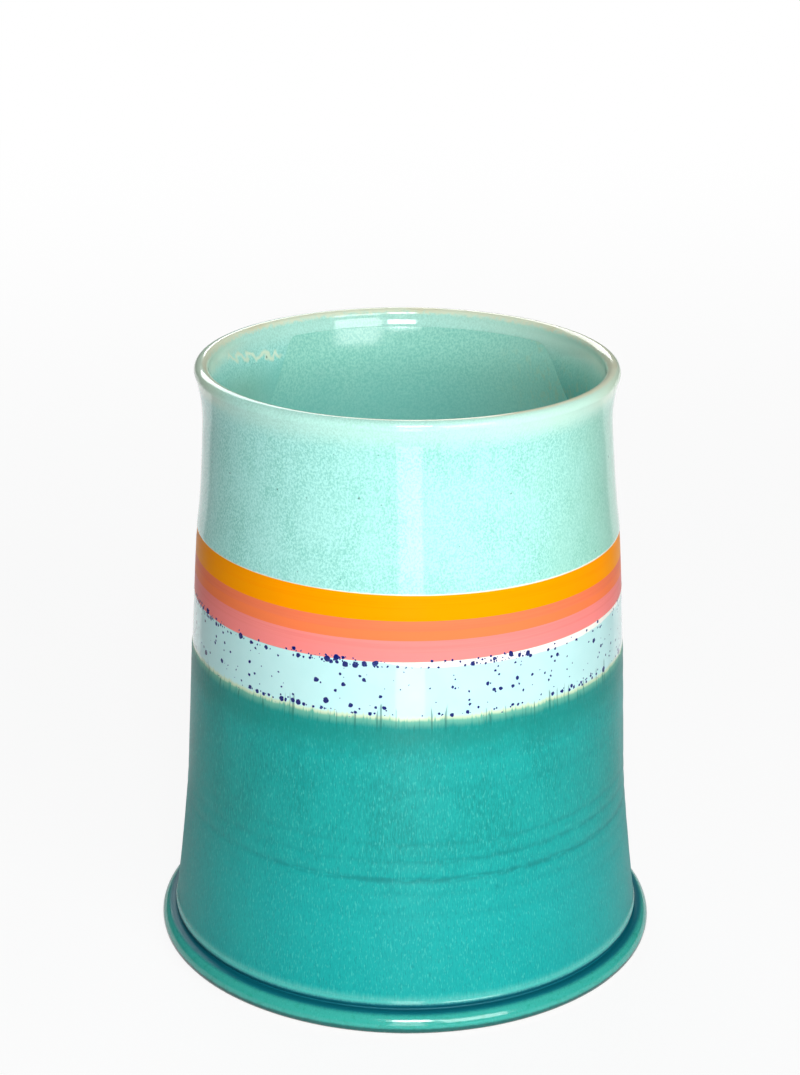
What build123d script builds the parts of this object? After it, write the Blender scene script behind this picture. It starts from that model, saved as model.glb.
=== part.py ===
from build123d import *
from math import sqrt
import os

# A wheel-thrown stoneware crock for a kitchen worktop. The clay is one thrown pot, and
# it carries separate coats of slip and glaze. Each coat is a closed solid of its own,
# seated on the clay and butted against the coats above and below it.
# Lengths are in millimetres. +Z is up, and the origin is on the worktop, on the pot's axis.

# The lip and the neck of the clay
clay_height = 210.5
lip_half_thickness = 1.9
lip_lean = 18
lip_reach = 0.3
neck_radius = 69.7
neck_depth = 20.5
neck_wall = 4.9

# The outer wall: each stretch going down from the neck leans out by its own amount
upper_wall_height = 27.0
upper_wall_lean = 2.0
shoulder_height = 15.0
shoulder_lean = 1.8
barrel_lean = 4.0
barrel_bulge = 0.45
ring_count = 3
ring_zone_height = 15.5
ring_zone_lean = 1.1
ring_bulge = 0.22
flare_height = 43.1
flare_lean = 4.7

# The rolled foot, the groove pressed in above it and the trimmed underside
foot_roll_radius = 3.7
foot_roll_reach = 1.4
foot_roll_overrun = 10
foot_groove_radius = 1.0
foot_ridge_radius = 1.2
foot_ridge_overrun = 7.4
foot_ring_width = 12.0
foot_recess_depth = 2.2
foot_recess_slope = 3.0

# The inside of the pot
floor_thickness = 8.0
floor_corner_radius = 16.0
inner_base_wall = 9.3
inner_wall_bulge = 1.0

# Thickness of each coat of slip and glaze, and the hairline it keeps from the clay
coat_clearance = 0.03
liner_thickness = 0.5
turquoise_thickness = 0.6
slip_thickness = 0.3
pale_blue_thickness = 0.4
teal_thickness = 0.6

# How far each coat reaches down the wall, from the rim or from the coat above it
dip_depth_inside = 8.0
turquoise_depth = 57.2
orange_band_height = 8.6
coral_band_height = 6.6
pink_band_height = 7.2
pale_blue_band_height = 19.8
bare_foot_height = 1.2

# Heights and radii that follow from the sizes above, and half a turn in degrees
half_turn = 180
lip_radius = neck_radius + lip_reach
lip_centre_height = clay_height - lip_half_thickness
neck_height = clay_height - neck_depth
neck_inner_radius = neck_radius - neck_wall
shoulder_top_height = neck_height - upper_wall_height
shoulder_top_radius = neck_radius + upper_wall_lean
barrel_top_height = shoulder_top_height - shoulder_height
barrel_top_radius = shoulder_top_radius + shoulder_lean
shoulder_middle_radius = (barrel_top_radius + shoulder_top_radius) / 2
shoulder_middle_height = (barrel_top_height + shoulder_top_height) / 2
foot_roll_height = foot_roll_radius + foot_roll_radius
ring_bottom_height = foot_roll_height + flare_height
ring_top_radius = barrel_top_radius + barrel_lean
flare_top_radius = ring_top_radius + ring_zone_lean
flare_base_radius = flare_top_radius + flare_lean
foot_roll_centre = flare_base_radius + foot_roll_reach
foot_ring_inner_radius = foot_roll_centre - foot_ring_width
foot_ridge_centre = flare_base_radius - foot_ridge_radius
inner_base_radius = flare_base_radius - inner_base_wall
turquoise_edge_height = clay_height - turquoise_depth
coral_top_height = turquoise_edge_height - orange_band_height
pink_top_height = coral_top_height - coral_band_height
pale_blue_top_height = pink_top_height - pink_band_height
teal_top_height = pale_blue_top_height - pale_blue_band_height
dip_edge_height = clay_height - dip_depth_inside
window_radius = foot_roll_centre + foot_roll_radius + teal_thickness
window_height = clay_height + turquoise_thickness

# The groove curls over from the roll, and the ridge curls back from the groove
groove_middle = Vector(foot_roll_centre, foot_roll_radius) + Vector(
    0, foot_roll_radius + foot_groove_radius
).rotate(Axis.Z, foot_roll_overrun)
groove_to_ridge = foot_groove_radius + foot_ridge_radius
ridge_rise = sqrt(groove_to_ridge**2 - (groove_middle.X - foot_ridge_centre) ** 2)
ridge_middle = Vector(foot_ridge_centre, groove_middle.Y + ridge_rise)


def ring_station(share, coat):
    """A point of the coated wall between two throwing rings, as a share of the way up."""
    return (
        flare_top_radius - share * ring_zone_lean + coat,
        ring_bottom_height + share * ring_zone_height,
    )


def pot_section(coat):
    """Half section of the pot under an even coat: x is the radius and y is the height."""
    groove_share = (foot_groove_radius - coat) / groove_to_ridge
    with BuildSketch() as section:
        with BuildLine():
            underside = Polyline(
                (0, foot_recess_depth - coat),
                (foot_ring_inner_radius - foot_recess_slope, foot_recess_depth - coat),
                (foot_ring_inner_radius, -coat),
                (foot_roll_centre, -coat),
            )
            foot_roll = CenterArc(
                (foot_roll_centre, foot_roll_radius),
                foot_roll_radius + coat,
                start_angle=-half_turn / 2,
                arc_size=half_turn + foot_roll_overrun,
            )
            foot_groove = TangentArc(
                foot_roll @ 1,
                groove_middle + (ridge_middle - groove_middle) * groove_share,
                tangent=foot_roll % 1,
            )
            foot_ridge = TangentArc(
                foot_groove @ 1,
                ridge_middle
                + Vector(foot_ridge_radius + coat, 0).rotate(Axis.Z, foot_ridge_overrun),
                tangent=foot_groove % 1,
            )
            TangentArc(foot_ridge @ 1, ring_station(0, coat), tangent=foot_ridge % 1)
            for ring in range(ring_count):
                SagittaArc(
                    ring_station(ring / ring_count, coat),
                    ring_station((ring + 1) / ring_count, coat),
                    -ring_bulge,
                )
            barrel = SagittaArc(
                ring_station(1, coat),
                (barrel_top_radius + coat, barrel_top_height),
                -barrel_bulge,
            )
            shoulder_below = TangentArc(
                barrel @ 1,
                (shoulder_middle_radius + coat, shoulder_middle_height),
                tangent=barrel % 1,
            )
            shoulder_above = TangentArc(
                shoulder_below @ 1,
                (shoulder_top_radius + coat, shoulder_top_height),
                tangent=shoulder_below % 1,
            )
            upper_wall = Line(shoulder_above @ 1, (neck_radius + coat, neck_height))
            lip = CenterArc(
                (lip_radius, lip_centre_height),
                lip_half_thickness + coat,
                start_angle=-lip_lean,
                arc_size=half_turn + lip_lean + lip_lean,
            )
            lip_flare = TangentArc(upper_wall @ 1, lip @ 0, tangent=upper_wall % 1)
            inner_wall = SagittaArc(
                (inner_base_radius - coat, floor_thickness + coat),
                (neck_inner_radius - coat, neck_height),
                -inner_wall_bulge,
            )
            inner_flare = TangentArc(inner_wall @ 1, lip @ 1, tangent=inner_wall % 1)
            well_floor = Line(inner_wall @ 0, (0, floor_thickness + coat))
            axis_edge = Line(well_floor @ 1, underside @ 0)
        make_face()
        floor_corner = section.vertices().sort_by_distance(well_floor @ 0)[0]
        fillet(floor_corner, floor_corner_radius - coat)
    return section.sketch


# The middle of the clay wall parts the coats outside from the coats inside
with BuildSketch() as outside_region:
    with BuildLine():
        Polyline(
            (lip_radius, window_height),
            (lip_radius, lip_centre_height),
            ((neck_radius + neck_inner_radius) / 2, neck_height),
            ((flare_base_radius + inner_base_radius) / 2, floor_thickness),
            ((flare_base_radius + inner_base_radius) / 2, 0),
            (window_radius, 0),
            (window_radius, window_height),
            close=True,
        )
    make_face()

with BuildSketch() as inside_region:
    Rectangle(window_radius, window_height, align=(Align.MIN, Align.MIN))
    add(outside_region.sketch, mode=Mode.SUBTRACT)


def coat_section(region, thickness, low, high):
    """Half section of a coat on one side of the wall, between two heights."""
    with BuildSketch() as section:
        add(pot_section(thickness))
        add(pot_section(coat_clearance), mode=Mode.SUBTRACT)
        add(region.sketch, mode=Mode.INTERSECT)
        with Locations((0, low)):
            Rectangle(
                window_radius,
                high - low,
                align=(Align.MIN, Align.MIN),
                mode=Mode.INTERSECT,
            )
    return section.sketch


# The thrown clay pot
with BuildPart() as stoneware_body:
    with BuildSketch(Plane.XZ):
        add(pot_section(0))
    revolve(axis=Axis.Z)

# The liner glaze, poured in and swirled over the floor and the inner wall
with BuildPart() as liner_glaze:
    with BuildSketch(Plane.XZ):
        add(coat_section(inside_region, liner_thickness, floor_thickness, dip_edge_height))
    revolve(axis=Axis.Z)

# The turquoise glaze, dipped from the top: the upper wall, the lip and a skirt inside it
with BuildPart() as turquoise_glaze:
    with BuildSketch(Plane.XZ):
        add(
            coat_section(
                outside_region, turquoise_thickness, turquoise_edge_height, window_height
            )
        )
        add(
            coat_section(inside_region, turquoise_thickness, dip_edge_height, window_height)
        )
    revolve(axis=Axis.Z)

# Three bands of coloured slip, brushed on as the pot turned
with BuildPart() as orange_band:
    with BuildSketch(Plane.XZ):
        add(
            coat_section(
                outside_region, slip_thickness, coral_top_height, turquoise_edge_height
            )
        )
    revolve(axis=Axis.Z)

with BuildPart() as coral_band:
    with BuildSketch(Plane.XZ):
        add(coat_section(outside_region, slip_thickness, pink_top_height, coral_top_height))
    revolve(axis=Axis.Z)

with BuildPart() as pink_band:
    with BuildSketch(Plane.XZ):
        add(
            coat_section(
                outside_region, slip_thickness, pale_blue_top_height, pink_top_height
            )
        )
    revolve(axis=Axis.Z)

# The pale blue glaze between the bands and the lower dip
with BuildPart() as pale_blue_glaze:
    with BuildSketch(Plane.XZ):
        add(
            coat_section(
                outside_region, pale_blue_thickness, teal_top_height, pale_blue_top_height
            )
        )
    revolve(axis=Axis.Z)

# The teal glaze, dipped from below and wiped off just above the resting face
with BuildPart() as teal_glaze:
    with BuildSketch(Plane.XZ):
        add(coat_section(outside_region, teal_thickness, bare_foot_height, teal_top_height))
    revolve(axis=Axis.Z)

stoneware_body.part.label = "stoneware_body"
liner_glaze.part.label = "liner_glaze"
turquoise_glaze.part.label = "turquoise_glaze"
orange_band.part.label = "orange_band"
coral_band.part.label = "coral_band"
pink_band.part.label = "pink_band"
pale_blue_glaze.part.label = "pale_blue_glaze"
teal_glaze.part.label = "teal_glaze"

os.makedirs("parts", exist_ok=True)
export_step(stoneware_body.part, "parts/stoneware_body.step")
export_step(liner_glaze.part, "parts/liner_glaze.step")
export_step(turquoise_glaze.part, "parts/turquoise_glaze.step")
export_step(orange_band.part, "parts/orange_band.step")
export_step(coral_band.part, "parts/coral_band.step")
export_step(pink_band.part, "parts/pink_band.step")
export_step(pale_blue_glaze.part, "parts/pale_blue_glaze.step")
export_step(teal_glaze.part, "parts/teal_glaze.step")
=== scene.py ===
# %% [markdown]
# # A hand-thrown stoneware crock
# The real object is one tall pot, thrown on a wheel: a rolled lip, a slightly waisted
# neck, a straight wall that flares at the foot, and a rolled bead with a groove above it.
# Over the clay lie separate coats: a turquoise glaze dipped from the top, three bands of
# brushed slip, a pale blue glaze with cobalt specks, and a satin teal glaze on the lower
# half. The packed model fixes the sizes, and each coat here takes the place of one solid.

# %% Load the frame
import math

import bmesh
import bpy
import numpy as np
from mathutils import Matrix, Vector


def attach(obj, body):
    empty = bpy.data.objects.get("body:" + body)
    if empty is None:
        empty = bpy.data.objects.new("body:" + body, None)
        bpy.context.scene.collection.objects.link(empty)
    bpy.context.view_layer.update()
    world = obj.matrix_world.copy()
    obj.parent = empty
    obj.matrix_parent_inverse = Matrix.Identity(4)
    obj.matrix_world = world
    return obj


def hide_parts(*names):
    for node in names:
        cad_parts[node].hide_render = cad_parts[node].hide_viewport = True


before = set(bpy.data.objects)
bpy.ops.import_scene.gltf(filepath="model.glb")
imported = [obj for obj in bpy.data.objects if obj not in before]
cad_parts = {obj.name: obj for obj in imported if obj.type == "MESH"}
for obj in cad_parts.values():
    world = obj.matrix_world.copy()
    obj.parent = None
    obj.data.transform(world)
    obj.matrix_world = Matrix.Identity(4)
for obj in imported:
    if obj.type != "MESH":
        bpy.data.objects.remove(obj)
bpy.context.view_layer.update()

MM = 0.001

# %% [markdown]
# ## Drawing a half section
# A potter's rib shapes the wall while the wheel turns, so the pot is half an outline spun
# about one axis. It could be a stack of rings with their own vertex lists, but an outline
# that grows by small strokes is easier to read: a straight stroke extrudes the last
# point, and a curved stroke spins it about a centre. Lengths are in millimetres.

# %% An outline that grows stroke by stroke
class Outline:
    """A half section in the plane of X and Z, drawn from its last point onwards."""

    def __init__(self, radius, height):
        self.mesh = bmesh.new()
        self.end = self.mesh.verts.new((radius * MM, 0, height * MM))
        self.start = self.end

    def line(self, radius, height):
        """Extrudes the last point to a new place."""
        made = bmesh.ops.extrude_vert_indiv(self.mesh, verts=[self.end])
        self.end = made["verts"][0]
        self.end.co = (radius * MM, 0, height * MM)
        return self

    def curl(self, radius, height, degrees, steps):
        """Spins the last point about a centre: positive degrees turn from out to up."""
        made = bmesh.ops.spin(
            self.mesh,
            geom=[self.end],
            cent=(radius * MM, 0, height * MM),
            axis=(0, -1, 0),
            angle=math.radians(degrees),
            steps=steps,
            use_merge=False,
        )
        last = made["geom_last"]
        self.end = [item for item in last if isinstance(item, bmesh.types.BMVert)][0]
        return self

    def follow(self, surface, first, last, steps):
        """Goes from one height to another along a surface given as radius by height."""
        for step in range(steps + 1):
            height = first + (last - first) * step / steps
            self.line(surface(height), height)
        return self

    def close(self):
        """Joins the last point to the first."""
        self.mesh.edges.new((self.end, self.start))
        return self


print("an outline has strokes:", [name for name in vars(Outline) if name[0] != "_"])

# %% [markdown]
# ## The wall of the pot
# The wall has a few stations, each with its height, its radius and its lean. Between two
# stations the wall is a smooth cubic, so the curve has no kinks and needs few numbers.
# The same clay line serves every coat, which only adds its own thickness. The lip, the
# foot and the corner of the floor are rounds: each has a centre and turns so far, in
# degrees, about it.

# %% The outer and the inner line of the clay
OUTER_WALL = (
    (9.77, 83.29, -0.130),
    (50.5, 78.6, -0.098),
    (66.0, 77.5, -0.045),
    (148.0, 73.5, -0.071),
    (163.0, 71.7, -0.100),
    (190.0, 69.7, -0.060),
    (208.01, 71.81, 0.300),
)
INNER_WALL = (
    (24.45, 73.49, -0.032),
    (190.0, 64.8, -0.070),
    (208.01, 68.19, 0.440),
)
LIP = (70.0, 208.6)
LIP_ROUND = 1.9
LIP_LEAN = 18
FOOT_ROLL = (84.7, 3.7)
ROLL_ROUND = 3.7
FOOT_GROOVE = (83.884, 8.329)
FOOT_RIDGE = (82.1, 9.616)
ROLL_TURN = 190
GROOVE_TURN = 135.82
RIDGE_TURN = 43.22
FLOOR = 8.0
CORNER = (57.5, 24.0)
CORNER_TURN = 91.6


def along(stations, height):
    """The radius at a height, on smooth cubics through the stations."""
    for below, over in zip(stations, stations[1:]):
        low, radius, lean = below
        high, next_radius, next_lean = over
        if height <= high:
            break
    wavy_glint = high - low
    t = (height - low) / wavy_glint
    return (
        (2 * t**3 - 3 * t**2 + 1) * radius
        + (t**3 - 2 * t**2 + t) * wavy_glint * lean
        + (3 * t**2 - 2 * t**3) * next_radius
        + (t**3 - t**2) * wavy_glint * next_lean
    )


def outer(coat):
    """The line of the outer wall under so much glaze."""
    return lambda height: along(OUTER_WALL, height) + coat


def inner(coat):
    """The line of the inner wall under so much glaze."""
    return lambda height: along(INNER_WALL, height) - coat


def lip_start(coat):
    """Where the round of the lip begins outside, under so much glaze."""
    reach = LIP_ROUND + coat
    lean = math.radians(LIP_LEAN)
    return LIP[0] + reach * math.cos(lean), LIP[1] - reach * math.sin(lean)


print("clay radius half way up:", round(outer(0)(105), 2), "mm")

# %% [markdown]
# ## The hand of the maker
# Nothing thrown by hand is quite round. The lip leans a little to one side, the bands
# were brushed slightly out of level, and a few throwing rings stay in the lower wall.
# Noise or sculpting could do this, but a few slow waves round the pot always meet
# themselves again. One function bends every piece the same way, so no coat parts from
# the clay, and it tells how deep a throwing ring is at each point: the rings are pressed
# in the teal's surface alone. Inside, the bend draws the edge of the outer dip down,
# except on the far wall, which leaves an arch there.

# %% How far the hand strays, in millimetres
UNEVEN = 0.16
LIP_SHIFT = 0.9
BAND_TILT = 0.9
BAND_WAVER = 0.12
PALE_TOP = 130.9
DIP_EDGE = 202.5
LAP_TOP = 207.2
LAP_FOOT = 110.0
LAP_DROP = 24.3
ARCH_RISE = 2.3
# The arch ends between these angles, in radians from the right
ARCH_LEFT = (2.23, 2.5)
ARCH_RIGHT = (0.8, 0.3)
# Heights at which the wall is measured for the bend
STEPS = [OUTER_WALL[0][0] + step * 1.98 for step in range(101)]
OUTER_LINE = [along(OUTER_WALL, height) for height in STEPS]
INNER_LINE = [along(INNER_WALL, height) for height in STEPS]
# Each ring's height, width and depth: a depth below zero stands proud
RINGS = (
    (105.5, 1.5, 0.10),
    (98.0, 2.6, 0.10),
    (86.0, 3.0, 0.10),
    (67.0, 1.5, 0.13),
    (60.4, 1.5, 0.17),
    (57.1, 1.2, -0.02),
    (53.8, 1.5, 0.24),
    (49.0, 1.6, 0.09),
    (41.0, 2.6, 0.10),
    (28.0, 3.2, 0.07),
)
print(len(RINGS), "throwing rings, the deepest", max(ring[2] for ring in RINGS), "mm")


# %% A gentle bend for every piece
def smooth(value, low, high):
    """0 at low, 1 at high, an easy curve between. low may be the larger."""
    t = np.clip((value - low) / (high - low), 0, 1)
    return t * t * (3 - 2 * t)


def sway(angle, height, seed):
    """A slow unevenness between -1 and 1 that meets itself round the pot."""
    waves = ((1, 0.45), (2, 0.3), (3, 0.25))
    return sum(
        share * np.sin(turns * (angle + 2.1 * seed) + height * turns / 45 + seed)
        for turns, share in waves
    )


def hand(x, y, z):
    """The thrown place of each ideal point, and the depth of the rings there, in mm."""
    radius = np.maximum(np.hypot(x, y), 1e-6)
    angle = np.arctan2(y, x)
    # The rings are pressed only where glaze stands off the line of the clay
    clay_line = np.interp(z, STEPS, OUTER_LINE)
    outside = smooth(radius - clay_line, 0.2, 0.28) * smooth(z, 206, 200)
    depth = 0 * z
    for number, (height, width, most) in enumerate(RINGS):
        fade = 0.5 + 0.38 * np.cos(angle + 0.9) + 0.12 * sway(angle, 0, number)
        level = height + 0.7 * sway(angle, 0, number + 5)
        depth = depth + outside * most * fade * np.exp(-(((z - level) / width) ** 2))
    # A slow unevenness above the foot, a leaning lip and bands out of level
    grow = UNEVEN * smooth(z, 14, 60) * sway(angle, z, 1) - depth
    lean = -LIP_SHIFT * smooth(z, 150, 209) * smooth(radius, 0, 60)
    lift = BAND_TILT * x / radius * np.exp(-(((z - PALE_TOP) / 7) ** 2))
    banded = smooth(z, 95, 105) * smooth(z, 180, 165)
    lift = lift + BAND_WAVER * sway(angle, z * 6, 3) * banded
    # Inside, the edge of the outer dip slides down along the line of the inner wall
    lap = smooth(angle, *ARCH_LEFT) + smooth(angle, *ARCH_RIGHT)
    drop = (LAP_DROP * lap - ARCH_RISE) * smooth(LIP[0] - radius, 0, 1)
    slide = -drop * np.interp(z, (LAP_FOOT, DIP_EDGE, LAP_TOP), (0, 1, 0))
    grow = grow + np.interp(z + slide, STEPS, INNER_LINE)
    grow = grow - np.interp(z, STEPS, INNER_LINE)
    lift = lift + slide
    return x + x / radius * grow + lean, y + y / radius * grow, z + lift, depth


print("a point of the lip moves to", [round(float(v), 2) for v in hand(72.5, 0, 208.6)])

# %% [markdown]
# ## Turning a piece
# A full turn of the outline gives the piece. The turn is merged where it meets itself,
# and points on the axis are merged to one, so that every shell is closed. Corners that
# are really sharp stay sharp, and the depth of the rings is kept for the glaze to use.

# %% Spin an outline into a piece
AROUND = 360


def turned(name, outline, body_node):
    """A closed piece from a half section, bent by hand and set in the frame."""
    mesh = outline.mesh
    bmesh.ops.spin(
        mesh,
        geom=mesh.verts[:] + mesh.edges[:],
        cent=(0, 0, 0),
        axis=(0, 0, 1),
        angle=math.tau,
        steps=AROUND,
        use_merge=True,
    )
    bmesh.ops.remove_doubles(mesh, verts=mesh.verts[:], dist=1e-6)
    bmesh.ops.recalc_face_normals(mesh, faces=mesh.faces[:])
    data = bpy.data.meshes.new(name)
    mesh.to_mesh(data)
    mesh.free()
    places = np.empty(len(data.vertices) * 3)
    data.vertices.foreach_get("co", places)
    x, y, z, depth = hand(*(places.reshape(-1, 3).T / MM))
    data.vertices.foreach_set("co", (np.stack((x, y, z), axis=1) * MM).ravel())
    data.attributes.new("ring_depth", "FLOAT", "POINT").data.foreach_set("value", depth)
    data.shade_smooth()
    data.set_sharp_from_angle(angle=math.radians(50))
    piece = bpy.data.objects.new(name, data)
    bpy.context.scene.collection.objects.link(piece)
    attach(piece, "root")
    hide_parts(body_node)
    triangles = sum(len(face.vertices) - 2 for face in data.polygons)
    print(name, "has", triangles, "triangles")
    return piece


# %% [markdown]
# ## The clay
# The thrown body shows only as a thin pale line under the teal glaze and on the foot
# that the pot stands on. It is drawn whole, with its wall, floor and trimmed underside,
# so that the coats rest on something real.

# %% The thrown clay
SEAT = 0.03
RECESS = 2.2
clay = Outline(0, RECESS).line(40, RECESS).line(69.7, RECESS)
clay.line(70.4, 1.7).line(72.4, 0.3).line(73.0, 0).line(FOOT_ROLL[0], 0)
clay.curl(*FOOT_ROLL, ROLL_TURN, 20).curl(*FOOT_GROOVE, -GROOVE_TURN, 10)
clay.curl(*FOOT_RIDGE, RIDGE_TURN, 6).follow(outer(0), 11, 207.5, 70)
clay.line(OUTER_WALL[-1][1], OUTER_WALL[-1][0]).curl(*LIP, 180 + 2 * LIP_LEAN, 16)
clay.follow(inner(0), 207.5, 24.45, 60)
clay.curl(*CORNER, -CORNER_TURN, 12).line(30, FLOOR).line(0, FLOOR)
thrown_clay = turned("thrown_clay", clay, "stoneware_body")

# %% [markdown]
# ## The liner glaze
# The inside is glazed first: glaze is poured in, swirled round and poured out. It is a
# thin shell on the floor and the inner wall, up to where the outer dip ends.

# %% The poured liner
LINER_COAT = 0.5
liner = Outline(0, FLOOR + LINER_COAT).line(30, FLOOR + LINER_COAT)
liner.line(CORNER[0], FLOOR + LINER_COAT).curl(*CORNER, CORNER_TURN, 12)
liner.follow(inner(LINER_COAT), 27, DIP_EDGE - 0.3, 60)
liner.line(inner(LINER_COAT - 0.02)(DIP_EDGE - 0.02), DIP_EDGE - 0.02)
liner.line(inner(SEAT)(DIP_EDGE), DIP_EDGE)
liner.follow(inner(SEAT), DIP_EDGE - 4, 27, 40)
liner.line(73.46, 24.45).curl(*CORNER, -CORNER_TURN, 12)
liner.line(30, FLOOR + SEAT).line(0, FLOOR + SEAT)
poured_liner = turned("poured_liner", liner, "liner_glaze")

# %% [markdown]
# ## The turquoise dip
# The pot is held upside down and dipped. The glaze covers the upper wall, rolls over the
# lip and ends inside. Its lower edge is a soft step on the orange band: a small round
# on the outline keeps that edge thick, as wax or tape leaves it.

# %% The turquoise glaze
TURQUOISE_EDGE = 153.3
DIP_COAT = 0.6
dip = Outline(outer(SEAT)(TURQUOISE_EDGE), TURQUOISE_EDGE)
for above_edge, coat in ((0, 0.38), (0.08, 0.52), (0.3, DIP_COAT)):
    dip.line(outer(coat)(TURQUOISE_EDGE + above_edge), TURQUOISE_EDGE + above_edge)
dip.follow(outer(DIP_COAT), TURQUOISE_EDGE + 1, 207.6, 50).line(*lip_start(DIP_COAT))
dip.curl(*LIP, 180 + LIP_LEAN, 30)
dip.follow(inner(DIP_COAT), 207.3, DIP_EDGE + 1.4, 20)
for above_edge, coat in ((0.7, 0.58), (0.2, 0.55), (0, LINER_COAT), (0, SEAT)):
    dip.line(inner(coat)(DIP_EDGE + above_edge), DIP_EDGE + above_edge)
dip.follow(inner(SEAT), DIP_EDGE + 0.5, 207.4, 16)
dip.line(2 * LIP[0] - lip_start(SEAT)[0], lip_start(SEAT)[1])
dip.curl(*LIP, -180 - 2 * LIP_LEAN, 16)
dip.follow(outer(SEAT), 207.6, TURQUOISE_EDGE + 2, 30).close()
turquoise_dip = turned("turquoise_dip", dip, "turquoise_glaze")

# %% [markdown]
# ## The brushed bands and the pale ring
# Each band of slip was laid on with a brush while the pot turned. A band is a flat ring:
# up the outside, over its edge, and down again against the clay.

# %% Three bands of slip and the pale blue ring
def ring_of(name, low, high, coat, body_node):
    """A thin closed ring of slip or glaze between two heights of the wall."""
    steps = max(3, round((high - low) / 0.9))
    ring = Outline(outer(SEAT)(low), low).follow(outer(coat), low, high, steps)
    ring.line(outer(SEAT)(high), high).follow(outer(SEAT), high - 1, low + 1, 4).close()
    return turned(name, ring, body_node)


SLIP_COAT = 0.3
PALE_COAT = 0.36
CORAL_TOP = 144.7
PINK_TOP = 138.1
TEAL_TOP = 111.1
orange_slip = ring_of(
    "orange_slip_band",
    CORAL_TOP,
    TURQUOISE_EDGE,
    SLIP_COAT,
    "orange_band",
)
coral_slip = ring_of(
    "coral_slip_band", PINK_TOP, CORAL_TOP, SLIP_COAT, "coral_band"
)
pink_slip = ring_of(
    "pink_slip_band", PALE_TOP, PINK_TOP, SLIP_COAT, "pink_band"
)
pale_ring = ring_of(
    "pale_blue_ring",
    TEAL_TOP,
    PALE_TOP,
    PALE_COAT,
    "pale_blue_glaze",
)

# %% [markdown]
# ## The teal dip
# The lower half was dipped in a stiffer glaze. It thins out at its top edge, pools in
# the groove, covers the bead and was wiped back to leave a line of bare clay. Its outline
# starts at that wiped edge: each stroke lies further round the bead, on thicker glaze.

# %% The teal glaze
WIPED_EDGE = 1.2
TEAL_COAT = 0.6
SOFT_RIDGE = (82.75, 9.75)
tilt = math.asin((FOOT_ROLL[1] - WIPED_EDGE) / (ROLL_ROUND + 0.1))
teal = Outline(FOOT_ROLL[0] + 2.75, WIPED_EDGE)
# How far round the bead, in radians, and how thick the glaze is there
wiped = ((0.02, 0.12), (0.1, 0.3), (0.2, 0.45), (0.32, 0.56), (0.44, TEAL_COAT))
for turn, coat in wiped:
    teal.line(
        FOOT_ROLL[0] + (ROLL_ROUND + coat) * math.cos(tilt - turn),
        FOOT_ROLL[1] - (ROLL_ROUND + coat) * math.sin(tilt - turn),
    )
teal.curl(*FOOT_ROLL, ROLL_TURN - 90 + math.degrees(tilt - wiped[-1][0]), 28)
teal.curl(*FOOT_GROOVE, -151.4, 12).curl(*SOFT_RIDGE, 86.4, 12)
teal.follow(outer(TEAL_COAT), 11.4, TEAL_TOP - 3, 150)
teal.line(outer(0.52)(TEAL_TOP - 1.5), TEAL_TOP - 1.5)
teal.line(outer(PALE_COAT)(TEAL_TOP), TEAL_TOP).line(outer(SEAT)(TEAL_TOP), TEAL_TOP)
teal.follow(outer(SEAT), TEAL_TOP - 2, 11, 24)
teal.line(83.32, 9.77).curl(*FOOT_RIDGE, -RIDGE_TURN, 6)
teal.curl(*FOOT_GROOVE, GROOVE_TURN, 8).curl(*FOOT_ROLL, -140, 14).close()
teal_dip = turned("teal_dip", teal, "teal_glaze")

# %% [markdown]
# ## Writing shader sums in Python
# A glaze is a recipe: a base, a few oxides, and how thick it ran. In nodes that recipe is
# many small sums. A wire wraps one socket, so that a sum of wires writes its own maths
# nodes, and one method makes every other node: its settings first, then its sockets.
# The wall is also unrolled flat, at its mean radius, with the seam at the back. A speck
# that the seam would cut is left out.

# %% A wire and a glaze recipe
WALL_RADIUS = 76
SEAM = 236.0


class Wire:
    """One output socket, with the sums that the recipes use."""

    def __init__(self, glaze, socket):
        self.glaze = glaze
        self.socket = socket

    def __add__(self, other):
        return self.glaze.sum_of("ADD", self, other)

    def __sub__(self, other):
        return self.glaze.sum_of("SUBTRACT", self, other)

    def __mul__(self, other):
        return self.glaze.sum_of("MULTIPLY", self, other)

    def __truediv__(self, other):
        return self.glaze.sum_of("DIVIDE", self, other)

    def __pow__(self, other):
        return self.glaze.sum_of("POWER", self, other)

    def __rsub__(self, other):
        return self.glaze.sum_of("SUBTRACT", other, self)

    __radd__ = __add__
    __rmul__ = __mul__


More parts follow.
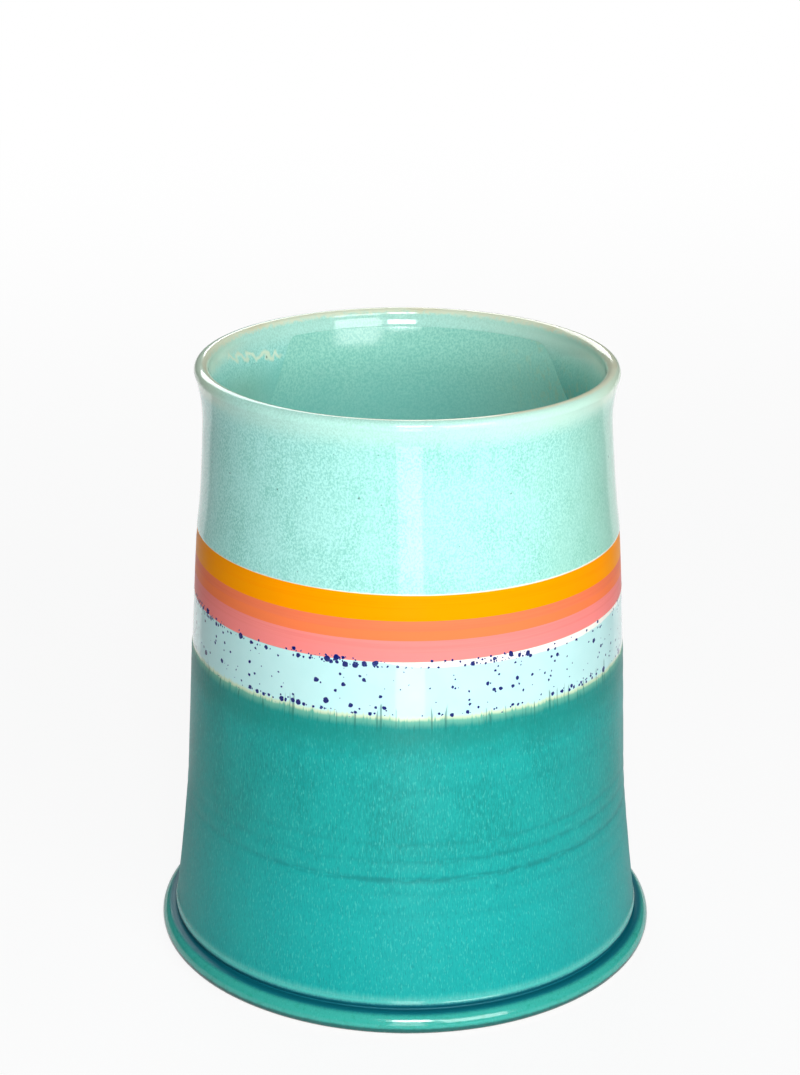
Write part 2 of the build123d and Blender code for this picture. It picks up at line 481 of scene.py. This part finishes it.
class Glaze:
    """A finish for one piece, mixed from nodes on the piece's own coordinates."""

    def __init__(self, name, piece):
        self.material = bpy.data.materials.new(name)
        self.material.use_nodes = True
        self.tree = self.material.node_tree
        self.surface = self.tree.nodes["Principled BSDF"]
        piece.data.materials.append(self.material)
        place = self.add("TexCoord", result="Object")
        self.place = self.add(
            "VectorMath", {"operation": "SCALE"}, {0: place, "Scale": 1 / MM}
        )
        split = self.add("SeparateXYZ", sockets={0: self.place})
        outputs = split.socket.node.outputs
        self.x, self.y, self.z = (Wire(self, output) for output in outputs)
        self.around = self.sum_of("ARCTAN2", self.x, 0 - self.y) * WALL_RADIUS

    def add(self, kind, settings={}, sockets={}, result=0):
        """Makes one node and gives back the wire of one of its results."""
        node = self.tree.nodes.new("ShaderNode" + kind)
        for name, value in settings.items():
            setattr(node, name, value)
        for name, value in sockets.items():
            if isinstance(value, Wire):
                self.tree.links.new(value.socket, node.inputs[name])
            else:
                node.inputs[name].default_value = value
        return Wire(self, node.outputs[result])

    def rise(self, value, low, high):
        """0 below low, 1 above high, smooth between. low may be the larger."""
        return self.add(
            "MapRange",
            {"interpolation_type": "SMOOTHSTEP"},
            {0: value, 1: low, 2: high},
        )

    def near(self, value, middle, width):
        """1 at the middle and 0 beyond a width on either side of it."""
        away = self.sum_of("ABSOLUTE", value - middle)
        return self.rise(away, width, 0)

    def sum_of(self, operation, value, other=0.0):
        """One maths node on a value, or on two."""
        return self.add("Math", {"operation": operation}, {0: value, 1: other})

    def root(self, value):
        """The square root of a value."""
        return self.sum_of("SQRT", value)

    def speck(self, cell, size, seed, crowd):
        """Round specks on the unrolled wall: one chance in each cell, by its centre."""
        across = self.around + (self.cloud(0.9, shift=seed) - 0.5) * 0.7
        up = self.z + (self.cloud(0.9, shift=seed + 5) - 0.5) * 0.7
        flat = self.add("CombineXYZ", sockets={0: across / cell + seed, 1: up / cell})
        dots = self.add(
            "TexVoronoi",
            {"voronoi_dimensions": "2D"},
            {"Vector": flat, "Scale": 1.0, "Randomness": 0.95},
        )
        results = dots.socket.node.outputs
        away, colour, centre = (Wire(self, results[i]) for i in (0, 1, 2))
        luck = self.add("SeparateXYZ", sockets={0: colour}).socket.node.outputs
        middle = self.add("SeparateXYZ", sockets={0: centre}).socket.node.outputs
        around = (Wire(self, middle[0]) - seed) * cell
        height = Wire(self, middle[1]) * cell
        radius = (Wire(self, luck[0]) ** 1.6 * 0.7 + 0.3) * size
        spot = self.rise(away * cell - radius, 0.1, -0.1)
        whole = self.sum_of("LESS_THAN", self.sum_of("ABSOLUTE", around), SEAM)
        chance = crowd(around, height)
        return spot * whole * self.sum_of("LESS_THAN", Wire(self, luck[1]), chance)

    def streak(self, across, up, seed):
        """A noise on the unrolled wall, so that its streaks stay upright."""
        flat = self.add(
            "CombineXYZ", sockets={0: self.around / across + seed, 1: self.z / up}
        )
        return self.add(
            "TexNoise",
            {"noise_dimensions": "2D"},
            {"Vector": flat, "Scale": 1.0, "Detail": 0.0},
        )

    def stretch(self, across, up, shift=0.0):
        """The place on the pot, squeezed or drawn out across and up."""
        return self.add(
            "Mapping",
            sockets={
                "Vector": self.place,
                "Location": (shift, shift, shift),
                "Scale": (1 / across, 1 / across, 1 / up),
            },
        )

    def cloud(self, across, up=None, detail=2.0, rough=0.5, shift=0.0):
        """A noise between 0 and 1 with spots of about this size in millimetres."""
        return self.add(
            "TexNoise",
            sockets={
                "Vector": self.stretch(across, up or across, shift),
                "Scale": 1.0,
                "Detail": detail,
                "Roughness": rough,
            },
        )

    def mix(self, share, under, over):
        """One colour laid over another by a share between 0 and 1."""
        return self.add(
            "Mix",
            {"data_type": "RGBA", "clamp_factor": True},
            {0: share, 6: under, 7: over},
            result=2,
        )

    def finish(self, colour, roughness, height=None, depth=0.0, **constants):
        """Sends the recipe to the surface. Depth is the relief in millimetres."""
        self.tree.links.new(colour.socket, self.surface.inputs["Base Color"])
        if isinstance(roughness, Wire):
            self.tree.links.new(roughness.socket, self.surface.inputs["Roughness"])
        else:
            self.surface.inputs["Roughness"].default_value = roughness
        if height is not None:
            relief = {"Strength": 1.0, "Distance": depth * MM, "Height": height}
            bump = self.add("Bump", sockets=relief)
            self.tree.links.new(bump.socket, self.surface.inputs["Normal"])
        for name, value in constants.items():
            self.surface.inputs[name.replace("_", " ")].default_value = value
        print(self.material.name, "has", len(self.tree.nodes), "nodes")


def paint(red, green, blue):
    """A colour as it looks on a screen, turned into the light values a shader takes."""
    light = []
    for part in (red / 255, green / 255, blue / 255):
        light.append(part / 12.92 if part < 0.04 else ((part + 0.055) / 1.055) ** 2.4)
    return (*light, 1.0)


print("half way round the wall:", round(math.pi * WALL_RADIUS, 1), "mm")

# %% [markdown]
# ## The bare clay
# Fired stoneware is matt and cream with darker specks of iron. It needs a dry surface
# with a fine grain, and nothing glossy.

# %% Bare stoneware
bare = Glaze("bare_stoneware", thrown_clay)
fleck = bare.rise(bare.cloud(0.9, detail=1.0), 0.66, 0.74)
tone = bare.mix(bare.cloud(9.0), paint(232, 226, 212), paint(212, 202, 184))
tone = bare.mix(fleck * 0.6, tone, paint(140, 116, 92))
bare.finish(tone, 0.85, bare.cloud(0.5, detail=3.0), 0.05)

# %% [markdown]
# ## The turquoise glaze
# The glaze breaks: it is thin and creamy on the lip and at its lower edge, and deeper
# where it is thick. Close up it is a fine grain of pale crystals over soft clouds. Two
# noises of different size give that, and height gives the places where it breaks. The
# deeper colour inside the dip is partly thick glaze and partly painted shade. The thin
# lip is painted lighter towards the right, and both ends of the lip get a painted sheen.
# Just inside the lip, at the back left, a thin wavy line is a painted highlight.

# %% Turquoise, breaking to cream
glaze = Glaze("turquoise_glaze", turquoise_dip)
grains = glaze.rise(glaze.cloud(0.62, 0.85, detail=3.0, rough=0.7), 0.35, 0.65)
clouds = glaze.rise(glaze.cloud(9.0, 16.0, detail=4.0), 0.3, 0.7)
colour = glaze.mix(grains, paint(132, 208, 195), paint(180, 241, 232))
colour = glaze.mix(clouds * 0.3, colour, paint(184, 243, 236))
greener = glaze.rise(glaze.x + glaze.cloud(20.0) * 20.0, 40.0, 84.0)
colour = glaze.mix(greener * 0.6, colour, paint(150, 208, 178))
upper = glaze.z + (glaze.cloud(1.6, 1.2, detail=3.0) - 0.5) * 3.0
thin = glaze.rise(upper, 199.0, 207.5)
# Towards the right this thin tint is stronger: painted light over the real thin glaze at
# the lip.
thin = thin * (glaze.rise(glaze.x, 0.0, 60.0) * 0.4 + 0.45)
colour = glaze.mix(thin, colour, paint(206, 243, 226))
# Both sides of the lip are painted paler and warmer: a painted sheen.
lip_side_sheen = glaze.rise(glaze.x * glaze.x, 3000.0, 4800.0) * glaze.rise(upper, 203.0, 207.0)
colour = glaze.mix(lip_side_sheen * 0.7, colour, paint(224, 240, 214))
reach = glaze.root(glaze.x * glaze.x + glaze.y * glaze.y)
# Inside the dip the colour darkens lower down: partly thicker glaze, partly painted
# shade.
within = glaze.rise(reach, 67.6, 66.6) * glaze.rise(upper, 205.0, 190.0)
colour = glaze.mix(within * 0.7, colour, paint(122, 200, 187))
creamy = glaze.rise(glaze.cloud(3.0, 4.0, detail=4.0, rough=0.7), 0.5, 0.66)
creamy = creamy * glaze.rise(glaze.x, 30.0, 62.0)
creamy = creamy + glaze.rise(glaze.x, -46.0, -62.0) * 0.4
colour = glaze.mix(creamy * within * 0.6, colour, paint(186, 206, 166))
# A thin wavy painted highlight just inside the lip, at the back left.
sweep = glaze.near(glaze.around, -161.5, 22.0)
wave = glaze.sum_of("SINE", glaze.around * 0.8 + glaze.cloud(5.0) * 9.0) * 1.2
drift = (glaze.around + 161.0) * 0.16 + 202.0
wavy_glint = glaze.near(glaze.z - drift - wave, 0.0, 1.5) * glaze.rise(sweep, 0.0, 0.25)
wavy_glint = wavy_glint * glaze.rise(reach, 68.8, 67.8)
colour = glaze.mix(wavy_glint * 0.85, colour, paint(226, 240, 212))
crest = glaze.rise(upper, 208.8, 210.6) * glaze.rise(reach, 71.0, 69.8)
colour = glaze.mix(crest * 0.9, colour, paint(230, 236, 208))
tan = glaze.rise(glaze.cloud(18.0, shift=3.0), 0.52, 0.7) * crest
colour = glaze.mix(tan * 0.45, colour, paint(222, 212, 174))
step = glaze.z + glaze.cloud(2.0) * 0.6
edge_line = glaze.rise(step, TURQUOISE_EDGE + 1.0, TURQUOISE_EDGE + 0.6)
colour = glaze.mix(edge_line, colour, paint(246, 247, 224))
pin = glaze.speck(14.0, 0.5, 2.0, lambda around, height: 0.3)
pin = pin * glaze.rise(upper, 204.0, 202.0)
colour = glaze.mix(pin * 0.7, colour, paint(58, 112, 100))
glaze.finish(
    colour, 0.06, glaze.cloud(4.0, 5.0, detail=1.0), 0.01, Specular_IOR_Level=0.5
)

# %% [markdown]
# ## The liner glaze
# Inside, the same glaze is thicker and darker, and lower down it is darker still, partly
# thicker glaze and partly painted shade. Towards the right it is painted lighter, as
# painted light. The outer dip laps over the poured coat in an arch on the far wall:
# that edge is in the mesh, and the colour only deepens.

# %% The liner, deeper down
inside = Glaze("liner_glaze", poured_liner)
grains = inside.rise(inside.cloud(0.7, 0.9, detail=3.0, rough=0.6), 0.34, 0.66)
colour = inside.mix(grains, paint(136, 208, 192), paint(168, 228, 212))
# Darker lower down inside: partly thicker glaze, partly painted shade.
deep_and_shaded = inside.rise(inside.z + inside.cloud(16.0, 26.0) * 12.0, 208.0, 178.0)
colour = inside.mix(deep_and_shaded * 0.6, colour, paint(118, 198, 190))
creamy = inside.rise(inside.cloud(3.0, 4.0, detail=4.0, rough=0.7), 0.5, 0.66)
# Lighter towards the right: painted light where the lamps don't reach.
right = inside.rise(inside.x, 10.0, 62.0)
colour = inside.mix(right * 0.5, colour, paint(176, 234, 216))
creamy = creamy * inside.rise(inside.x, 26.0, 60.0)
creamy = creamy * inside.rise(inside.z, 170.0, 190.0)
colour = inside.mix(creamy * 0.5, colour, paint(196, 214, 176))
inside.finish(colour, 0.18, inside.cloud(3.0), 0.05)

# %% [markdown]
# ## Cobalt specks
# Cobalt was flicked on with a loaded brush: round specks of every size, crowded under
# the pink edge, in a row near the teal edge and thin between. Scattered small meshes
# would stand proud, and these lie under the glaze. So the wall is unrolled flat and
# each cell of a Voronoi texture gives one speck its centre, its size and its chance.
# There are three sizes, each with its cell, its largest radius and a seed.

# %% Flicked cobalt
SPECKS = ((3.3, 1.25, 0.0), (2.3, 0.8, 31.0), (1.5, 0.5, 57.0))


def cobalt(glaze, colour):
    """Navy specks over a colour, crowded where the brush let go."""

    def crowd(around, height):
        top = glaze.rise(height, PALE_TOP - 3.4, PALE_TOP - 1.2)
        top = top * glaze.rise(height, PALE_TOP + 1.0, PALE_TOP + 0.5)
        low = glaze.rise(height, TEAL_TOP + 3.6, TEAL_TOP + 2.4)
        low = low * glaze.rise(height, TEAL_TOP + 0.4, TEAL_TOP + 1.0)
        thick = glaze.near(around, -22.0, 26.0) + glaze.near(around, -88.0, 34.0)
        thick = thick + glaze.near(around, 33.0, 16.0) + glaze.near(around, 128.0, 40.0)
        row = glaze.near(around, 66.0, 22.0) + glaze.near(around, -40.0, 30.0) * 0.4
        row = row + glaze.near(around, -150.0, 40.0) * 0.7
        sparse = glaze.rise(height, PALE_TOP - 0.5, PALE_TOP - 1.5) * 0.07
        return top * (thick * 0.65 + 0.14) + low * (row * 0.6 + 0.1) + sparse

    for cell, size, seed in SPECKS:
        speck = glaze.speck(cell, size, seed, crowd)
        halo = glaze.mix(glaze.rise(speck, 0.0, 0.6) * 0.8, colour, paint(86, 128, 196))
        colour = glaze.mix(glaze.rise(speck, 0.4, 0.9), halo, paint(14, 26, 104))
    return colour


print("specks up to", 2 * SPECKS[0][1], "mm across")

# %% [markdown]
# ## The slips
# Coloured slip is opaque clay. The brush leaves long streaks round the pot, so the noise
# is stretched across and kept short in height. The lower half of each band was brushed
# over a second time, and the flicked cobalt reaches up over the edge of the pink.

# %% Orange, coral and pink
def brushed(name, piece, shade, light, second, low, high):
    """Opaque slip under clear glaze: faint brush streaks and a second, lower pass."""
    slip = Glaze(name, piece)
    streaks = slip.rise(slip.cloud(60.0, 0.7, detail=3.0), 0.3, 0.7)
    tone = slip.mix(streaks, shade, light)
    edge = slip.z + (slip.cloud(30.0, 12.0) - 0.5) * 1.6
    middle = (low + high) / 2
    tone = slip.mix(slip.rise(edge, middle + 0.3, middle - 0.3) * 0.8, tone, second)
    if piece is pink_slip:
        tone = cobalt(slip, tone)
    slip.finish(tone, 0.3, slip.cloud(3.0), 0.01, Specular_IOR_Level=0.012)


brushed(
    "orange_slip",
    orange_slip,
    paint(255, 152, 0),
    paint(255, 158, 0),
    paint(255, 157, 0),
    CORAL_TOP,
    TURQUOISE_EDGE,
)
brushed(
    "coral_slip",
    coral_slip,
    paint(243, 122, 82),
    paint(245, 127, 86),
    paint(250, 130, 76),
    PINK_TOP,
    CORAL_TOP,
)
brushed(
    "pink_slip",
    pink_slip,
    paint(244, 134, 128),
    paint(248, 141, 135),
    paint(248, 140, 136),
    PALE_TOP,
    PINK_TOP,
)

# %% [markdown]
# ## Where pale blue meets teal
# The two glazes overlap and react: a thin cream and green fringe, with fine threads of
# teal drawn up into the pale blue. Both pieces use one recipe for it, measured from
# the ragged line, so the fringe runs on over the join.

# %% The fringe
GREEN = (-3.4, 0.3)
CREAM = (-0.7, 0.6)
CLEAR = (0.3, 1.7)


def over_the_line(glaze):
    """How far a point is above the ragged upper line of the teal, in millimetres."""
    threads = glaze.rise(glaze.cloud(0.8, 40.0, detail=1.0, shift=5.0), 0.5, 0.8)
    slow = glaze.cloud(9.0, 60.0) - 0.5
    return glaze.z - TEAL_TOP + 0.1 - threads * 1.1 - slow * 1.8


def fringed(glaze, below, above):
    """Teal below, pale blue above, a green and cream fringe, and hairs of dark teal."""
    over = over_the_line(glaze)
    tone = glaze.mix(glaze.rise(over, *GREEN), below, paint(112, 184, 160))
    tone = glaze.mix(glaze.rise(over, *CREAM), tone, paint(206, 226, 190))
    tone = glaze.mix(glaze.rise(over, *CLEAR), tone, above)
    hair = glaze.rise(glaze.streak(1.1, 400.0, 3.0), 0.62, 0.78)
    reach = (glaze.streak(3.0, 400.0, 8.0) - 0.5) * 16.0 + 0.8
    tall = glaze.rise(over - reach, 0.4, -1.0) * glaze.rise(over, -6.5, -0.5)
    return glaze.mix(hair * tall * 0.65, tone, paint(0, 98, 92))


print("the fringe is", round(CLEAR[1] - GREEN[0], 1), "mm wide with its soft edges")

# %% [markdown]
# ## The pale blue glaze
# Wax kept this ring free of the dips, and its glaze is as glossy as the turquoise.
# Towards the right the pink slip ended short, so a line of white shows under it.

# %% Pale blue
pale = Glaze("pale_blue_glaze", pale_ring)
soft = pale.cloud(8.0, detail=2.0)
colour = pale.mix(soft, paint(184, 232, 231), paint(198, 240, 239))
short = pale.rise(pale.around, -14.0, 10.0) * pale.rise(pale.around, 104.0, 50.0)
line = pale.z + short * 1.7 + (pale.cloud(3.0, 2.0) - 0.5) * 0.5
line = pale.rise(line, PALE_TOP - 0.35, PALE_TOP + 0.1)
colour = pale.mix(line, colour, paint(250, 250, 240))
colour = fringed(pale, paint(4, 128, 120), colour)
pale.finish(cobalt(pale, colour), 0.07, pale.cloud(4.0), 0.01)

# %% [markdown]
# ## The teal glaze
# The teal is satin and fibrous: it ran down in fine threads. It is dark where it pooled
# in the groove and in the throwing rings, and light where it thinned on the ridge. The
# dark of the groove also holds painted shade from under the ridge.

# %% Satin teal
satin = Glaze("teal_glaze", teal_dip)
threads = satin.rise(satin.cloud(0.4, 2.8, detail=3.0, rough=0.6), 0.34, 0.68)
colour = satin.mix(threads, paint(0, 142, 137), paint(12, 164, 157))
low = satin.rise(satin.z, 74.0, 34.0)
colour = satin.mix(low * 0.45, colour, paint(8, 176, 176))
patches = satin.rise(satin.cloud(16.0, 26.0, detail=4.0, rough=0.55), 0.36, 0.68)
colour = satin.mix(patches * 0.4, colour, paint(16, 172, 166))
dark = satin.rise(satin.cloud(0.45, 2.4, detail=2.0, shift=17.0), 0.54, 0.72)
colour = satin.mix(dark * 0.42, colour, paint(0, 126, 124))
flecks = satin.rise(satin.cloud(0.45, 2.0, detail=2.0, shift=7.0), 0.56, 0.74)
colour = satin.mix(flecks * 0.4, colour, paint(88, 208, 198))
under = satin.z + satin.cloud(12.0, 6.0) * 8.0
under = satin.rise(under, TEAL_TOP - 12.0, TEAL_TOP - 2.0)
colour = satin.mix(under * 0.6, colour, paint(0, 128, 118))
ring = satin.add("Attribute", {"attribute_name": "ring_depth"}, result="Fac")
broken = satin.rise(satin.cloud(5.0, 1.4, detail=3.0), 0.25, 0.6)
pressed = satin.rise(ring, 0.02, 0.26) * broken
colour = satin.mix(pressed * 0.8, colour, paint(0, 118, 118))
reach = satin.root(satin.x * satin.x + satin.y * satin.y)
fibre = satin.cloud(0.7, 6.0, detail=2.0, shift=4.0) * 2.4
thin = satin.rise(satin.z + fibre, 15.0, 11.4) * satin.rise(satin.z, 9.0, 9.9)
colour = satin.mix(thin * 0.5, colour, paint(112, 214, 200))
bead = satin.rise(satin.z, 8.1, 7.3) * satin.rise(reach, 84.8, 86.0)
colour = satin.mix(bead * 0.5, colour, paint(80, 184, 162))
green = satin.rise(satin.cloud(1.6, 1.2, detail=3.0), 0.5, 0.7) * bead
colour = satin.mix(green * 0.35, colour, paint(20, 150, 118))
# The groove's dark is pooled glaze together with painted shade under the ridge.
pooled_and_shaded = satin.rise(satin.z + fibre * 0.3, 11.1, 9.9) * satin.rise(satin.z, 6.3, 7.5)
pooled_and_shaded = pooled_and_shaded * satin.rise(reach + fibre * 0.3, 87.9, 86.1)
colour = satin.mix(pooled_and_shaded * 0.95, colour, paint(0, 96, 112))
hem = satin.rise(satin.z + satin.cloud(3.0) * 0.5, 4.5, 3.3)
colour = satin.mix(hem * 0.9, colour, paint(0, 84, 82))
bare_line = satin.rise(satin.z + satin.cloud(4.0) * 0.2, 1.75, 1.55)
colour = satin.mix(bare_line, colour, paint(236, 236, 228))
colour = fringed(satin, colour, paint(196, 238, 238))
foot_gloss = satin.rise(satin.z, 13.0, 10.4)
gloss = satin.cloud(0.6, 1.0, detail=2.0, shift=2.0) * 0.24 + 0.3
gloss = gloss * (1 - foot_gloss * 0.6)
coat = foot_gloss * (1 - pooled_and_shaded) * 0.8
satin.tree.links.new(coat.socket, satin.surface.inputs["Coat Weight"])
satin.finish(
    colour,
    gloss + pooled_and_shaded * 0.3,
    satin.cloud(0.6, 1.8, detail=3.0),
    0.04,
    Specular_IOR_Level=0.3,
    Coat_Roughness=0.06,
)

# %% [markdown]
# ## Floor and light
# The pot stands on a white table in a white room. The table looks white by a glow of
# strength 1 that only camera rays see, and keeps a faint shadow. Far away it glows
# fully, so that it meets the backdrop without a line. Behind the pot glossy rays see
# the glow too, and the glaze mirrors it as pale strips down both sides.

# %% The floor
floor_mesh = bmesh.new()
bmesh.ops.create_grid(floor_mesh, x_segments=1, y_segments=1, size=4.0)
floor_data = bpy.data.meshes.new("table")
floor_mesh.to_mesh(floor_data)
floor_mesh.free()
table = bpy.data.objects.new("table", floor_data)
bpy.context.scene.collection.objects.link(table)
linen = Glaze("table_top", table)
seen = linen.add("LightPath").socket.node.outputs
white = linen.add("Emission", sockets={"Color": (1, 1, 1, 1), "Strength": 1.0})
linen.surface.inputs["Base Color"].default_value = (0.8, 0.81, 0.82, 1)
linen.surface.inputs["Roughness"].default_value = 0.9
linen.surface.inputs["Specular IOR Level"].default_value = 0.0
beyond = linen.y - linen.sum_of("ABSOLUTE", linen.x) * 1.35
mirrored = linen.rise(beyond, -145.0, -112.0) * 0.8
mirrored = mirrored + linen.rise(beyond, -240.0, -120.0) * 0.2
mirrored = mirrored * linen.rise(linen.y, 90.0, 120.0)
reach = linen.root(linen.x * linen.x + linen.y * linen.y)
far = linen.rise(reach, 350.0, 1600.0)
share = Wire(linen, seen["Is Camera Ray"]) * (far * 0.1 + 0.9)
share = share + Wire(linen, seen["Is Glossy Ray"]) * mirrored
matt = Wire(linen, linen.surface.outputs[0])
blend = linen.add("MixShader", sockets={0: share, 1: matt, 2: white})
output = linen.tree.nodes["Material Output"]
linen.tree.links.new(blend.socket, output.inputs["Surface"])
print("the table is", round(table.dimensions.x, 1), "m wide")

# %% [markdown]
# ## The room
# The world gives only a low, even light, so that the lamps shape the pot: a little more
# from behind and from above, as in a room with a bright far wall. To the camera it is
# white at a strength of 1. It has few nodes, so they are linked by hand.

# %% The world
world = bpy.data.worlds.new("room")
bpy.context.scene.world = world
world.use_nodes = True
room = world.node_tree
sky = room.nodes["Background"]
sky.inputs["Color"].default_value = (1, 1, 1, 1)
direction = room.nodes.new("ShaderNodeTexCoord")
parts = room.nodes.new("ShaderNodeSeparateXYZ")
room.links.new(direction.outputs["Generated"], parts.inputs[0])
both = room.nodes.new("ShaderNodeMath")
# Each side's axis, where its light starts and is full, and its least and most
sides = (("Y", 0.68, 0.8, 0.03, 0.1), ("Z", 0.3, 0.9, 0.0, 0.05))
for place, (axis, start, full, least, most) in enumerate(sides):
    side = room.nodes.new("ShaderNodeMapRange")
    side.interpolation_type = "SMOOTHSTEP"
    side.inputs["From Min"].default_value = start
    side.inputs["From Max"].default_value = full
    side.inputs["To Min"].default_value = least
    side.inputs["To Max"].default_value = most
    room.links.new(parts.outputs[axis], side.inputs["Value"])
    room.links.new(side.outputs[0], both.inputs[place])
ray = room.nodes.new("ShaderNodeLightPath")
strength = room.nodes.new("ShaderNodeMix")
room.links.new(ray.outputs["Is Camera Ray"], strength.inputs[0])
room.links.new(both.outputs[0], strength.inputs[2])
strength.inputs[3].default_value = 1.0
room.links.new(strength.outputs[0], sky.inputs["Strength"])
print("world strength: 1 to the camera, and low for the light that it gives")

# %% [markdown]
# ## The lamps
# A window a little to the right of the viewer and a wider lamp further right do most
# of the work. A narrow one low in front stands for light off the table, and one behind
# keeps the far side from going dark. All are soft rectangles.

# %% Lamps
def lamp(name, place, target, width, height, watts):
    """A soft rectangular light that faces a point and isn't seen by the camera."""
    data = bpy.data.lights.new(name, "AREA")
    data.shape = "RECTANGLE"
    data.size = width
    data.size_y = height
    data.energy = watts
    light = bpy.data.objects.new(name, data)
    light.location = place
    aim = Vector(target) - Vector(place)
    light.rotation_euler = aim.to_track_quat("-Z", "Y").to_euler()
    light.visible_camera = False
    bpy.context.scene.collection.objects.link(light)
    print(name, "gives", watts, "W")
    return light


lamp("window", (0.08, -1.2, 1.0), (0, 0, 0.1), 0.4, 0.45, 11.7)
lamp("right_fill", (0.8, -1.3, 0.75), (0, 0, 0.1), 0.8, 0.8, 13.1)
lamp("table_glow", (0.009, -0.36, 0.08), (0.006, -0.02, 0.26), 0.078, 0.34, 0.28)
lamp("back_light", (-0.4, 1.5, 1.1), (0, 0, 0.08), 1.2, 0.8, 13)

# %% [markdown]
# ## The camera
# The view looks down on the pot by about twenty degrees from a little under a metre.
# It was found by matching the ellipses of the rim, the bands and the foot. Its yaw,
# pitch and roll are in degrees, and its place is in metres.

# %% The camera
CAMERA_PLACE = (0, -0.7883, 0.4336)
CAMERA_ANGLES = (-0.21, 20.01, 0.42)
camera_data = bpy.data.cameras.new("camera")
camera_data.lens = 80.4
camera_data.sensor_width = 36.0
camera = bpy.data.objects.new("camera", camera_data)
bpy.context.scene.collection.objects.link(camera)
yaw, pitch, roll = (math.radians(angle) for angle in CAMERA_ANGLES)
ahead = Vector(
    (math.sin(yaw) * math.cos(pitch), math.cos(yaw) * math.cos(pitch), -math.sin(pitch))
)
right = ahead.cross(Vector((0, 0, 1))).normalized()
up = right.cross(ahead)
level = right * math.cos(roll) + up * math.sin(roll)
upright = up * math.cos(roll) - right * math.sin(roll)
turn = Matrix((level, upright, -ahead)).transposed()
camera.matrix_world = Matrix.Translation(CAMERA_PLACE) @ turn.to_4x4()
bpy.context.scene.camera = camera
bpy.context.scene.view_settings.view_transform = "Standard"
print("camera at", [round(v, 3) for v in camera.location])
